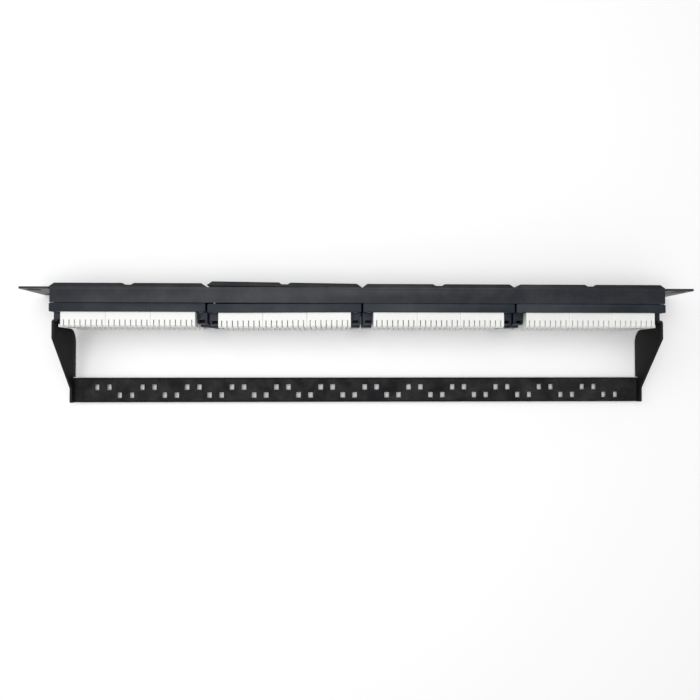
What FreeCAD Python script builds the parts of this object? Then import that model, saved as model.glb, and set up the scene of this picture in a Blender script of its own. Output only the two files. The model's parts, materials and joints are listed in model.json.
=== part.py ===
import FreeCAD, Part
import os
import re
import Sketcher

# A one-unit, 19-inch rack patch panel with 24 eight-way sockets in four modules.
# X runs along the panel, to the right as seen from the front. The front faces -Y, and +Z is up.
# The origin is the middle of the rack mounting plane, the rear face of the panel's ears.

os.makedirs("parts", exist_ok=True)
doc = FreeCAD.newDocument("patch_panel")
sheet = doc.addObject("Spreadsheet::Sheet", "Sizes")

MODULES = (1, 2, 3, 4)
LOOSE_MODULE = 3
PORTS_IN_MODULE = 6
WIRES_IN_PORT = 8
BLOCKS_IN_ROW = 3
SLITS_IN_BLOCK = 8
TIE_PAIRS_IN_ROW = 12
ROWS = (("upper", 1), ("lower", -1))
ENDS = (-1, 1)
NEAR = 1e-4

# Driving dimensions, in millimetres. Heights are above or below the middle of the panel,
# and depths are behind the mounting plane, unless the name says otherwise.
SIZES = {
    # Front panel, bent from steel sheet
    "panel_width": 482.6,
    "panel_height": 43.66,
    "sheet": 1.5,
    "bend_outside": 2.0,
    "bend_relief": 1.2,
    "flange_length": 438.5,
    "flange_depth": 9.5,
    "ear_corner": 2.0,
    "rack_across": 465.1,
    "rack_up": 31.75,
    "rack_slot_width": 6.8,
    "rack_slot_length": 10.2,
    "slot_end_flat": 0.001,
    "module_pitch": 110.4,
    "window_width": 105.0,
    "window_rim": 3.83,
    # Module housing: a bezel in front of the sheet and a body through the window
    "bezel_gap": 0.4,
    "bezel_step": 2.03,
    "bezel_proud": 3.0,
    "bezel_slope_run": 3.7,
    "bezel_slope_depth": 2.6,
    "bezel_round": 0.4,
    "window_fit": 0.2,
    "housing_past_flange": 0.5,
    "port_pitch": 17.2,
    "port_width": 11.9,
    "port_top": 2.2,
    "port_height": 7.2,
    "latch_width": 6.6,
    "latch_height": 1.5,
    "key_width": 3.6,
    "key_height": 1.6,
    # Label window in the bezel, with its paper strip and clear cover
    "label_end_rim": 5.0,
    "label_top_rim": 2.8,
    "label_height": 7.4,
    "label_recess": 2.3,
    "label_fit": 0.2,
    "paper": 0.15,
    "label_cover_thick": 0.7,
    "pry_notch_wide": 8.5,
    "pry_notch_narrow": 4.0,
    "pry_notch_depth": 1.4,
    # Spring wires in each socket
    "wire_pitch": 1.02,
    "wire_thick": 0.45,
    "wire_front": 1.2,
    "wire_drop": 2.3,
    "wire_return": 6.5,
    # Circuit board
    "board_thick": 1.6,
    "board_inset_across": 2.2,
    "board_inset_up": 1.8,
    # Rear cover, with a tower at each end
    "cover_gap": 1.6,
    "cover_step": 0.93,
    "cover_thick": 5.85,
    "flange_gap": 0.6,
    "seat_gap": 0.1,
    "seat_inset": 0.6,
    "cover_rim": 1.5,
    "cover_round": 0.5,
    "board_fit": 0.2,
    "strip_fit": 0.1,
    "tower_rim": 0.35,
    "tower_up": 12.5,
    "tower_proud": 5.25,
    "hook_below": 2.0,
    "hook_slot_wall": 0.9,
    "ledge_top": 1.0,
    "ledge_run": 4.3,
    # Terminal blocks, with a slit over each blade
    "block_end": 2.315,
    "block_gap": 0.1,
    "block_height": 10.4,
    "block_proud": 10.65,
    "block_bevel": 1.2,
    "slit_width": 0.7,
    "slit_depth": 5.1,
    "slit_pitch": 3.81,
    "lead_in_width": 1.7,
    "lead_in_depth": 0.7,
    "blade_width": 3.0,
    "blade_thick": 0.5,
    "blade_below": 1.6,
    "blade_slot": 0.3,
    "blade_fit": 0.05,
    "wiring_label_rim": 1.0,
    # Screws that clamp the cover and the board to the housing
    "screw_inset_across": 2.1,
    "screw_inset_up": 1.6,
    "screw_head": 4.6,
    "screw_head_thick": 1.5,
    "screw_shank": 2.4,
    "screw_length": 9.0,
    "screw_neck": 0.2,
    "screw_drive": 0.8,
    "screw_drive_long": 2.8,
    "screw_fit": 0.2,
    # Module 3 sits a little open at its right-hand end, at the front and at the rear
    "loose_front": 1.4,
    "loose_rear": 0.7,
    # Cable bar, bent from one steel sheet: two arms, a bar with tie holes, two hooks
    "arm_inset": 2.0,
    "arm_top": 20.8,
    "arm_bottom": 18.8,
    "throat_fit": 0.8,
    "arm_corner": 10.0,
    "arm_top_run": 8.4,
    "arm_tail": 7.5,
    "arm_tail_over_bar": 7.9,
    "arm_round": 1.5,
    "bar_reach": 55.4,
    "bar_width": 18.75,
    "bar_lip": 3.4,
    "bar_relief": 3.0,
    "arm_slit": 0.4,
    "tie_hole_across": 3.6,
    "tie_hole_along": 4.15,
    "tie_pair": 9.2,
    "tie_pitch": 34.0,
    "tie_front_row": 7.2,
    "tie_row_step": 6.1,
    "hook_reach": 3.7,
    "hook_depth": 8.5,
    "hook_fit": 0.2,
    "finger_fit": 0.3,
}

for row, (alias, value) in enumerate(SIZES.items(), start=1):
    sheet.set(f"A{row}", alias)
    sheet.set(f"B{row}", str(value))
    sheet.setAlias(f"B{row}", alias)
doc.recompute()

# Lengths that several pieces share, as expressions on the sheet
END_MODULE = f"{(len(MODULES) - 1) / 2} * module_pitch"
BODY_WIDTH = "(window_width - 2 * window_fit)"
WINDOW_HEIGHT = "(panel_height - 2 * window_rim)"
BODY_HEIGHT = f"({WINDOW_HEIGHT} - 2 * window_fit)"
BEZEL_WIDTH = "(module_pitch - bezel_gap)"
BEZEL_HEIGHT = "(panel_height - 2 * bezel_step)"
BEZEL_FRONT = "(-sheet - bezel_proud)"
HOUSING_REAR = "(flange_depth + housing_past_flange)"
LABEL_LENGTH = f"({BEZEL_WIDTH} - 2 * label_end_rim)"
LABEL_MIDDLE = f"({BEZEL_HEIGHT} / 2 - label_top_rim - label_height / 2)"
LABEL_FLOOR = f"({BEZEL_FRONT} + label_recess)"
BOARD_REAR = f"({HOUSING_REAR} + board_thick)"
COVER_WIDTH = "(module_pitch - cover_gap)"
COVER_HEIGHT = "(panel_height - 2 * cover_step)"
COVER_FRONT = "(flange_depth + flange_gap)"
COVER_REAR = f"({COVER_FRONT} + cover_thick)"
SEAT_FRONT = "(flange_depth + seat_gap)"
BOARD_WIDTH = f"({COVER_WIDTH} - 2 * board_inset_across)"
BOARD_HEIGHT = f"({COVER_HEIGHT} - 2 * board_inset_up)"
BLOCK_WIDTH = f"({SLITS_IN_BLOCK - 1} * slit_pitch + 2 * block_end)"
BLOCK_PITCH = f"({BLOCK_WIDTH} + block_gap)"
BLOCK_TIP = f"({COVER_REAR} + block_proud)"
BLADE_TIP = f"({BLOCK_TIP} - blade_below)"
ROW_MIDDLE = f"({COVER_HEIGHT} / 2 - cover_rim - block_height / 2)"
STRIP_HALF = f"(({BLOCKS_IN_ROW - 1} * {BLOCK_PITCH} + {BLOCK_WIDTH}) / 2)"
TOWER_INNER = f"({STRIP_HALF} + strip_fit + tower_rim)"
TOWER_REAR = f"({COVER_REAR} + tower_proud)"
SLOT_REAR = f"({TOWER_REAR} + sheet + 2 * hook_fit)"
SLOT_OUTER = f"({COVER_WIDTH} / 2 - arm_inset + finger_fit)"
SLOT_INNER = f"({COVER_WIDTH} / 2 - arm_inset - hook_reach - finger_fit)"
LEDGE_REAR = f"({TOWER_REAR} + ledge_run)"
HEAD_SEAT = f"({COVER_REAR} - screw_head_thick - screw_fit)"
SCREW_ACROSS = f"({BODY_WIDTH} / 2 - screw_inset_across)"
SCREW_UP = f"({BODY_HEIGHT} / 2 - screw_inset_up)"
SCREW_HOLE = "(screw_shank + 2 * screw_fit)"
ARM_OUTER = f"({END_MODULE} + {COVER_WIDTH} / 2 - arm_inset)"
ARM_THROAT = f"({LEDGE_REAR} + throat_fit)"
HOOK_FRONT = f"({TOWER_REAR} + hook_fit)"
HOOK_BOTTOM = "(tower_up - hook_depth)"
FINGER_BOTTOM = "(tower_up + finger_fit)"
BAR_REAR = f"({BLOCK_TIP} + bar_reach)"
BAR_FRONT = f"({BAR_REAR} - bar_width)"
BAR_TOP = "(sheet - arm_bottom)"
TAIL_TOP = "(arm_tail - arm_bottom)"


def bound(text):
    """Point every size name in an expression at its cell on the sheet."""
    return re.sub(r"[a-z_]+", lambda found: (f"Sizes.{found.group()}" if found.group() in SIZES
                                             else found.group()), str(text))


def bind(item, prop, text):
    item.setExpression(prop, bound(text))


def new_body(label):
    body = doc.addObject("PartDesign::Body", label)
    body.Label = label
    return body


def origin_feature(body, role):
    return next(item for item in body.Origin.OriginFeatures if item.Role == role)


def draw(body, name, role, outlines, height):
    """A sketch of closed outlines on an origin plane, lifted along the plane's normal.

    Every corner is tied to the sketch's origin by two distances, each an expression.
    """
    sketch = body.newObject("Sketcher::SketchObject", name)
    sketch.AttachmentSupport = [(origin_feature(body, role), "")]
    sketch.MapMode = "FlatFace"
    bind(sketch, "AttachmentOffset.Base.z", height)
    for outline in outlines:
        first = sketch.GeometryCount
        count = len(outline)
        spread = [FreeCAD.Vector(10, 0, 0), FreeCAD.Vector(10, 10, 0), FreeCAD.Vector(0, 10, 0)]
        corners = [spread[place % 3] * (1 + place) for place in range(count)]
        for place in range(count):
            sketch.addGeometry(Part.LineSegment(corners[place], corners[(place + 1) % count]), False)
        for place in range(count):
            sketch.addConstraint(Sketcher.Constraint(
                "Coincident", first + place, 2, first + (place + 1) % count, 1))
        for place, corner in enumerate(outline):
            for kind, start, text in (("DistanceX", corners[place].x, corner[0]),
                                      ("DistanceY", corners[place].y, corner[1])):
                tie = sketch.addConstraint(Sketcher.Constraint(
                    kind, -1, 1, first + place, 1, start))
                sketch.renameConstraint(tie, f"{kind}_{first + place}")
                bind(sketch, f"Constraints.{kind}_{first + place}", text)
    return sketch


def span(role, low, high):
    """Low and high along a plane's normal. The XZ plane's normal is -Y."""
    if role == "XZ_Plane":
        return f"-({high})", f"-({low})"
    return low, high


def add(body, name, role, outlines, low, high):
    """Pad outlines from low to high, in the part's own coordinates."""
    near, far = span(role, low, high)
    sketch = draw(body, f"{name}_outline", role, outlines, near)
    pad = body.newObject("PartDesign::Pad", name)
    pad.Profile = sketch
    bind(pad, "Length", f"({far}) - ({near})")
    return pad


def cut(body, name, role, outlines, low, high):
    """Pocket outlines from low to high, in the part's own coordinates."""
    near, far = span(role, low, high)
    sketch = draw(body, f"{name}_outline", role, outlines, far)
    pocket = body.newObject("PartDesign::Pocket", name)
    pocket.Profile = sketch
    bind(pocket, "Length", f"({far}) - ({near})")
    return pocket


def rectangle(left, right, bottom, top):
    return [(left, bottom), (right, bottom), (right, top), (left, top)]


def centred(width, height, across="0", up="0"):
    """A rectangle about a middle point."""
    return rectangle(f"({across}) - ({width}) / 2", f"({across}) + ({width}) / 2",
                     f"({up}) - ({height}) / 2", f"({up}) + ({height}) / 2")


def screw_spots():
    """The four screws of a module, as distances from its middle."""
    return [(f"{end} * {SCREW_ACROSS}", f"{side} * {SCREW_UP}") for end in ENDS for side in ENDS]


def at_screws(width):
    """A square outline of one width about each screw."""
    return [centred(width, width, across, up) for across, up in screw_spots()]


def repeat(body, name, features, axis, count, pitch):
    """Repeat features along an origin axis of their body."""
    pattern = body.newObject("PartDesign::LinearPattern", name)
    pattern.Originals = features
    pattern.Direction = (origin_feature(body, axis), [""])
    pattern.Occurrences = count
    bind(pattern, "Length", f"{count - 1} * ({pitch})")
    body.Tip = pattern


def repeat_grid(body, name, feature, steps):
    """Repeat a feature along origin axes in turn: (name, axis, count, whole length) each."""
    doc.recompute()
    grid = body.newObject("PartDesign::MultiTransform", name)
    grid.Originals = [feature]
    patterns = []
    for step, axis, count, length in steps:
        pattern = body.newObject("PartDesign::LinearPattern", step)
        pattern.Direction = (origin_feature(body, axis), [""])
        pattern.Occurrences = count
        bind(pattern, "Length", length)
        patterns.append(pattern)
    grid.Transformations = patterns
    body.Tip = grid


def mirror(body, name, features, role):
    """Mirror features in an origin plane of their body."""
    mirrored = body.newObject("PartDesign::Mirrored", name)
    mirrored.Originals = features
    mirrored.MirrorPlane = (origin_feature(body, role), [""])
    body.Tip = mirrored


def soften(body, name, kind, size, wanted):
    """Fillet or chamfer the edges of the body's tip that wanted() picks."""
    doc.recompute()
    base = body.Tip
    edges = [f"Edge{place}" for place, edge in enumerate(base.Shape.Edges, start=1) if wanted(edge)]
    if not edges:
        raise RuntimeError(f"{body.Label}: {name} finds no edge")
    feature = body.newObject(f"PartDesign::{kind}", name)
    feature.Base = (base, edges)
    bind(feature, "Radius" if kind == "Fillet" else "Size", size)
    return feature


picks = doc.addObject("Spreadsheet::Sheet", "Picks")


def number(text):
    """The present value of an expression on the sheet, worked out in a spare cell."""
    picks.set("A1", "=" + bound(text))
    picks.recompute()
    return float(picks.get("A1"))


def near(length, target):
    return abs(length - target) < NEAR


def edges_at(**where):
    """A test for edges with both ends at the given coordinates, on either side in X and Z.

    An X is taken on both sides of the middle, and so is a Z given as a plus value.
    """
    targets = {axis: number(text) for axis, text in where.items()}

    def wanted(edge):
        for vertex in edge.Vertexes:
            for axis, target in targets.items():
                along = getattr(vertex.Point, axis)
                if axis == "x" or (axis == "z" and target > 0):
                    along = abs(along)
                if not near(along, target):
                    return False
        return True
    return wanted


def long_edges_at(least, **where):
    """The same, for edges longer than a given length."""
    wanted, shortest = edges_at(**where), number(least)
    return lambda edge: wanted(edge) and edge.Length > shortest


def edges_through_sheet(**where):
    """The same, for edges that cross the sheet's thickness."""
    wanted, thick = edges_at(**where), number("sheet")
    return lambda edge: wanted(edge) and near(edge.Length, thick)


def place(item, module, side, across="0", up="0"):
    """Put a piece drawn about the middle of a module where that module is.

    The loose module's front pieces turn a little about the bezel's left-hand rear edge,
    and its rear pieces about the cover's left-hand front edge.
    """
    half, depth, opened = {"front": (f"{BEZEL_WIDTH} / 2", "-sheet", "-loose_front"),
                           "rear": (f"{COVER_WIDTH} / 2", COVER_FRONT, "loose_rear")}[side]
    middle = f"({module} - 2.5) * module_pitch"
    if module != LOOSE_MODULE:
        bind(item, "Placement.Base.x", f"{middle} + {across}")
        bind(item, "Placement.Base.z", up)
        return
    reach = f"({half} + ({across}))"
    sine = f"({opened} / (2 * {half}))"
    bind(item, "Placement.Rotation.Angle", f"asin({sine})")
    bind(item, "Placement.Base.x", f"{middle} - {half} + {reach} * cos(asin({sine})) + {depth} * {sine}")
    bind(item, "Placement.Base.y", f"{depth} * (1 - cos(asin({sine}))) + {reach} * {sine}")
    bind(item, "Placement.Base.z", up)


def make_front_panel():
    """Channel-shaped sheet with two ears, four module windows and four rack slots."""
    body = new_body("front_panel")
    half = "panel_height / 2"
    add(body, "channel", "YZ_Plane", [[
        ("flange_depth", half), ("-sheet", half), ("-sheet", f"-{half}"), ("flange_depth", f"-{half}"),
        ("flange_depth", f"sheet - {half}"), ("0", f"sheet - {half}"),
        ("0", f"{half} - sheet"), ("flange_depth", f"{half} - sheet")]],
        "-flange_length / 2", "flange_length / 2")
    soften(body, "outer_bends", "Fillet", "bend_outside",
           long_edges_at("flange_length / 2", y="-sheet"))
    soften(body, "inner_bends", "Fillet", "bend_outside - sheet",
           long_edges_at("flange_length / 2", y="0"))
    add(body, "ears", "XZ_Plane", [centred("panel_width", "panel_height")], "-sheet", "0")
    soften(body, "ear_corners", "Fillet", "ear_corner",
           edges_through_sheet(x="panel_width / 2", z="panel_height / 2"))
    reliefs = [centred("bend_relief", "2 * bend_outside",
                       f"{end} * (flange_length + bend_relief) / 2", f"{side} * {half}")
               for end in ENDS for side in ENDS]
    cut(body, "bend_reliefs", "XZ_Plane", reliefs, "-sheet", "0")
    cut(body, "window", "XZ_Plane", [centred("window_width", WINDOW_HEIGHT, f"-{END_MODULE}")],
        "-sheet", "0")
    repeat(body, "windows", [body.Tip], "X_Axis", len(MODULES), "module_pitch")
    slots = [centred("rack_slot_length", "rack_slot_width",
                     f"{end} * rack_across / 2", f"{side} * rack_up / 2")
             for end in ENDS for side in ENDS]
    cut(body, "rack_slots", "XZ_Plane", slots, "-sheet", "0")
    corners = [edges_through_sheet(x=f"(rack_across + {end} * rack_slot_length) / 2",
                                   z=f"(rack_up + {side} * rack_slot_width) / 2")
               for end in ENDS for side in ENDS]
    soften(body, "slot_ends", "Fillet", "rack_slot_width / 2 - slot_end_flat",
           lambda edge: any(wanted(edge) for wanted in corners))
    return body


def socket_outline():
    """One socket's mouth: the plug's opening over two steps for its latch and key."""
    floor = "port_top - port_height"
    latch = f"{floor} - latch_height"
    key = f"{latch} - key_height"
    middle = f"-{(PORTS_IN_MODULE - 1) / 2} * port_pitch"
    right = [("port_width", "port_top"), ("port_width", floor), ("latch_width", floor),
             ("latch_width", latch), ("key_width", latch), ("key_width", key)]
    return ([(f"{middle} + {width} / 2", up) for width, up in right]
            + [(f"{middle} - {width} / 2", up) for width, up in reversed(right)])


def make_port_housing(module):
    """Bezel and body in one moulding, with six sockets and a label window."""
    body = new_body(f"port_housing_{module}")
    edge = f"{BEZEL_WIDTH} / 2"
    notch_floor = f"{BEZEL_FRONT} + pry_notch_depth"
    add(body, "bezel", "XY_Plane", [[
        (f"-{edge}", "-sheet"), (f"-{edge}", f"{BEZEL_FRONT} + bezel_slope_depth"),
        (f"-{edge} + bezel_slope_run", BEZEL_FRONT), (f"{edge} - bezel_slope_run", BEZEL_FRONT),
        (edge, f"{BEZEL_FRONT} + bezel_slope_depth"), (edge, "-sheet")]],
        f"-{BEZEL_HEIGHT} / 2", f"{BEZEL_HEIGHT} / 2")
    soften(body, "bezel_edges", "Fillet", "bezel_round", edges_at(y=BEZEL_FRONT))
    add(body, "window_body", "XZ_Plane", [centred(BODY_WIDTH, BODY_HEIGHT)], "-sheet", HOUSING_REAR)
    cut(body, "label_window", "XZ_Plane",
        [centred(LABEL_LENGTH, "label_height", "0", LABEL_MIDDLE)], BEZEL_FRONT, LABEL_FLOOR)
    cut(body, "pry_notch", "XY_Plane", [[
        ("-pry_notch_wide / 2", BEZEL_FRONT), ("-pry_notch_narrow / 2", notch_floor),
        ("pry_notch_narrow / 2", notch_floor), ("pry_notch_wide / 2", BEZEL_FRONT)]],
        LABEL_MIDDLE, f"{BEZEL_HEIGHT} / 2")
    cut(body, "socket", "XZ_Plane", [socket_outline()], BEZEL_FRONT, HOUSING_REAR)
    repeat(body, "sockets", [body.Tip], "X_Axis", PORTS_IN_MODULE, "port_pitch")
    cut(body, "screw_holes", "XZ_Plane", at_screws(SCREW_HOLE),
        f"{HEAD_SEAT} - screw_length - 4 * screw_fit", HOUSING_REAR)
    place(body, module, "front")
    return body


def make_jack_contacts(module):
    """Eight spring wires in each of six sockets, folded back under the socket's ceiling."""
    body = new_body(f"jack_contacts_{module}")
    start = (f"-{(PORTS_IN_MODULE - 1) / 2} * port_pitch - {(WIRES_IN_PORT - 1) / 2} * wire_pitch"
             " - wire_thick / 2")
    under = "port_top - wire_thick"
    wire = add(body, "wire", "YZ_Plane", [[
        (HOUSING_REAR, "port_top"), ("-wire_front", "port_top"),
        ("-wire_front - wire_thick", under),
        ("wire_return", f"{under} - wire_drop"), ("wire_return", f"{under} - wire_drop + wire_thick"),
        ("-wire_front + wire_thick", under), (HOUSING_REAR, under)]],
        start, f"{start} + wire_thick")
    repeat_grid(body, "wires", wire, (
        ("in_socket", "X_Axis", WIRES_IN_PORT, f"{WIRES_IN_PORT - 1} * wire_pitch"),
        ("in_module", "X_Axis", PORTS_IN_MODULE, f"{PORTS_IN_MODULE - 1} * port_pitch")))
    place(body, module, "front")
    return body


def make_label_strip(module):
    """Paper strip on the floor of the label window."""
    body = new_body(f"label_strip_{module}")
    add(body, "strip", "XZ_Plane", [centred(f"{LABEL_LENGTH} - 4 * label_fit",
                                            "label_height - 4 * label_fit", "0", LABEL_MIDDLE)],
        f"{LABEL_FLOOR} - paper", LABEL_FLOOR)
    place(body, module, "front")
    return body


def make_label_cover(module):
    """Clear strip with a bevelled rim, set back in the label window."""
    body = new_body(f"label_cover_{module}")
    rear = f"({LABEL_FLOOR} - paper - label_fit)"
    front = f"({rear} - label_cover_thick)"
    add(body, "pane", "XZ_Plane", [centred(f"{LABEL_LENGTH} - 2 * label_fit",
                                           "label_height - 2 * label_fit", "0", LABEL_MIDDLE)],
        front, rear)
    soften(body, "rim", "Chamfer", "label_cover_thick / 3", edges_at(y=front))
    place(body, module, "front")
    return body


def make_circuit_board(module):
    """Board between the sockets and the terminal blocks."""
    body = new_body(f"circuit_board_{module}")
    add(body, "board", "XZ_Plane", [centred(BOARD_WIDTH, BOARD_HEIGHT)], HOUSING_REAR, BOARD_REAR)
    cut(body, "screw_holes", "XZ_Plane", at_screws(SCREW_HOLE), HOUSING_REAR, BOARD_REAR)
    place(body, module, "rear")
    return body


def make_rear_cover(module):
    """Shallow cap over the board, with a window for each row of blocks and two hook towers.

    A seat round its front rim fills the gap between the cap and the panel's flanges.
    """
    body = new_body(f"rear_cover_{module}")
    add(body, "cap", "XZ_Plane", [centred(COVER_WIDTH, COVER_HEIGHT)], COVER_FRONT, COVER_REAR)
    soften(body, "cap_edges", "Fillet", "cover_round", edges_at(y=COVER_REAR))
    add(body, "seat", "XZ_Plane", [centred(f"{COVER_WIDTH} - 2 * seat_inset",
                                           f"{COVER_HEIGHT} - 2 * seat_inset")],
        SEAT_FRONT, COVER_FRONT)
    end = f"{COVER_WIDTH} / 2"
    wall = f"({SLOT_REAR} + hook_slot_wall)"
    foot = f"{COVER_REAR} - cover_round"
    for name, first, last in (("left", f"-{end}", f"-{TOWER_INNER}"), ("right", TOWER_INNER, end)):
        add(body, f"{name}_tower", "YZ_Plane", [[
            (foot, "-tower_up"), (LEDGE_REAR, "-tower_up"), (LEDGE_REAR, "ledge_top"),
            (wall, "ledge_top"), (wall, "tower_up - hook_slot_wall"), (TOWER_REAR, "tower_up"),
            (foot, "tower_up")]], first, last)
    cut(body, "hook_slots", "XY_Plane", [
        rectangle(f"-{SLOT_OUTER}", f"-{SLOT_INNER}", TOWER_REAR, SLOT_REAR),
        rectangle(SLOT_INNER, SLOT_OUTER, TOWER_REAR, SLOT_REAR)],
        f"{HOOK_BOTTOM} - hook_below", "tower_up")
    cut(body, "board_recess", "XZ_Plane",
        [centred(f"{BOARD_WIDTH} + 2 * board_fit", f"{BOARD_HEIGHT} + 2 * board_fit")],
        SEAT_FRONT, f"{BOARD_REAR} + board_fit")
    windows = [centred(f"2 * ({STRIP_HALF} + strip_fit)", "block_height + 2 * strip_fit",
                       "0", f"{side} * {ROW_MIDDLE}") for row, side in ROWS]
    cut(body, "block_windows", "XZ_Plane", windows, COVER_FRONT, COVER_REAR)
    cut(body, "screw_holes", "XZ_Plane", at_screws(SCREW_HOLE), COVER_FRONT, COVER_REAR)
    cut(body, "head_seats", "XZ_Plane", at_screws("screw_head + 2 * screw_fit"), HEAD_SEAT, COVER_REAR)
    place(body, module, "rear")
    return body


def make_terminal_block(module, row, side, column):
    """White insulating block with a slit and a lead-in over each blade."""
    body = new_body(f"terminal_block_{module}_{row}_{column}")
    half = "block_height / 2"
    add(body, "block", "YZ_Plane", [[
        (BOARD_REAR, f"-{half}"), (f"{BLOCK_TIP} - block_bevel", f"-{half}"),
        (BLOCK_TIP, f"-{half} + block_bevel"), (BLOCK_TIP, f"{half} - block_bevel"),
        (f"{BLOCK_TIP} - block_bevel", half), (BOARD_REAR, half)]],
        f"-{BLOCK_WIDTH} / 2", f"{BLOCK_WIDTH} / 2")
    middle = f"-{(SLITS_IN_BLOCK - 1) / 2} * slit_pitch"
    floor = f"{BLOCK_TIP} - slit_depth"
    throat = f"{BLOCK_TIP} - lead_in_depth"
    slit = cut(body, "slit", "XY_Plane", [[
        (f"{middle} - slit_width / 2", floor), (f"{middle} + slit_width / 2", floor),
        (f"{middle} + slit_width / 2", throat), (f"{middle} + lead_in_width / 2", BLOCK_TIP),
        (f"{middle} - lead_in_width / 2", BLOCK_TIP), (f"{middle} - slit_width / 2", throat)]],
        f"-{half}", half)
    pocket = cut(body, "blade_pocket", "XY_Plane", [rectangle(
        f"{middle} - blade_width / 2 - blade_fit", f"{middle} + blade_width / 2 + blade_fit",
        BOARD_REAR, f"{BLADE_TIP} + blade_fit")],
        "-blade_thick / 2 - blade_fit", "blade_thick / 2 + blade_fit")
    repeat(body, "slits", [slit, pocket], "X_Axis", SLITS_IN_BLOCK, "slit_pitch")
    place(body, module, "rear", f"{column - 2} * {BLOCK_PITCH}", f"{side} * {ROW_MIDDLE}")
    return body


def make_terminal_blades(module):
    """Forked blades, one in every slit of a module."""
    body = new_body(f"terminal_blades_{module}")
    middle = f"-{(BLOCKS_IN_ROW - 1) / 2} * {BLOCK_PITCH} - {(SLITS_IN_BLOCK - 1) / 2} * slit_pitch"
    shoulder = f"{BLADE_TIP} - blade_width / 3"
    floor = f"{BLOCK_TIP} - slit_depth"
    right = [("blade_width / 2", BOARD_REAR), ("blade_width / 2", shoulder),
             ("blade_width / 6", BLADE_TIP), ("blade_slot / 2", shoulder), ("blade_slot / 2", floor)]
    fork = ([(f"{middle} + {across}", depth) for across, depth in right]
            + [(f"{middle} - {across}", depth) for across, depth in reversed(right)])
    blade = add(body, "blade", "XY_Plane", [fork],
                f"-{ROW_MIDDLE} - blade_thick / 2", f"-{ROW_MIDDLE} + blade_thick / 2")
    repeat_grid(body, "blades", blade, (
        ("in_block", "X_Axis", SLITS_IN_BLOCK, f"{SLITS_IN_BLOCK - 1} * slit_pitch"),
        ("in_row", "X_Axis", BLOCKS_IN_ROW, f"{BLOCKS_IN_ROW - 1} * {BLOCK_PITCH}"),
        ("in_module", "Z_Axis", len(ROWS), f"2 * {ROW_MIDDLE}")))
    place(body, module, "rear")
    return body


def make_wiring_label(module):
    """Colour-code label on the cover, between the two rows of blocks."""
    body = new_body(f"wiring_label_{module}")
    between = f"2 * ({ROW_MIDDLE} - block_height / 2 - strip_fit - wiring_label_rim)"
    add(body, "label", "XZ_Plane", [centred(f"2 * ({STRIP_HALF} - wiring_label_rim)", between)],
        COVER_REAR, f"{COVER_REAR} + paper")
    place(body, module, "rear")
    return body


def make_screw(name):
    """Pan-head screw along Y with a cross recess, its head's seat where the cover has it."""
    head_top = f"{HEAD_SEAT} + screw_head_thick"
    rounds = []
    for item, radius, start, end in (
            ("head", "screw_head / 2", HEAD_SEAT, head_top),
            ("shank", "screw_shank / 2", f"{HEAD_SEAT} - screw_length", f"{HEAD_SEAT} + screw_neck")):
        cylinder = doc.addObject("Part::Cylinder", f"{name}_{item}")
        cylinder.Placement.Rotation = FreeCAD.Rotation(FreeCAD.Vector(1, 0, 0), 90)
        bind(cylinder, "Radius", radius)
        bind(cylinder, "Height", f"({end}) - ({start})")
        bind(cylinder, "Placement.Base.y", end)
        rounds.append(cylinder)
    bars = []
    for item, wide, tall in (("flat", "screw_drive_long", "screw_drive"),
                             ("upright", "screw_drive", "screw_drive_long")):
        bar = doc.addObject("Part::Box", f"{name}_{item}")
        bind(bar, "Length", wide)
        bind(bar, "Width", "screw_drive")
        bind(bar, "Height", tall)
        bind(bar, "Placement.Base.x", f"-{wide} / 2")
        bind(bar, "Placement.Base.y", f"{head_top} - screw_drive")
        bind(bar, "Placement.Base.z", f"-{tall} / 2")
        bars.append(bar)
    solid = doc.addObject("Part::Fuse", f"{name}_solid")
    solid.Base, solid.Tool = rounds
    cross = doc.addObject("Part::Fuse", f"{name}_cross")
    cross.Base, cross.Tool = bars
    screw = doc.addObject("Part::Cut", name)
    screw.Base, screw.Tool = solid, cross
    return screw


def make_cover_screws():
    """Four screws a module, as one group of separate solids."""
    screws = []
    for module in MODULES:
        for corner, (across, up) in enumerate(screw_spots(), start=1):
            screw = make_screw(f"screw_{module}_{corner}")
            place(screw, module, "rear", across, up)
            screws.append(screw)
    group = doc.addObject("Part::Compound", "cover_screws")
    group.Links = screws
    return group


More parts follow.
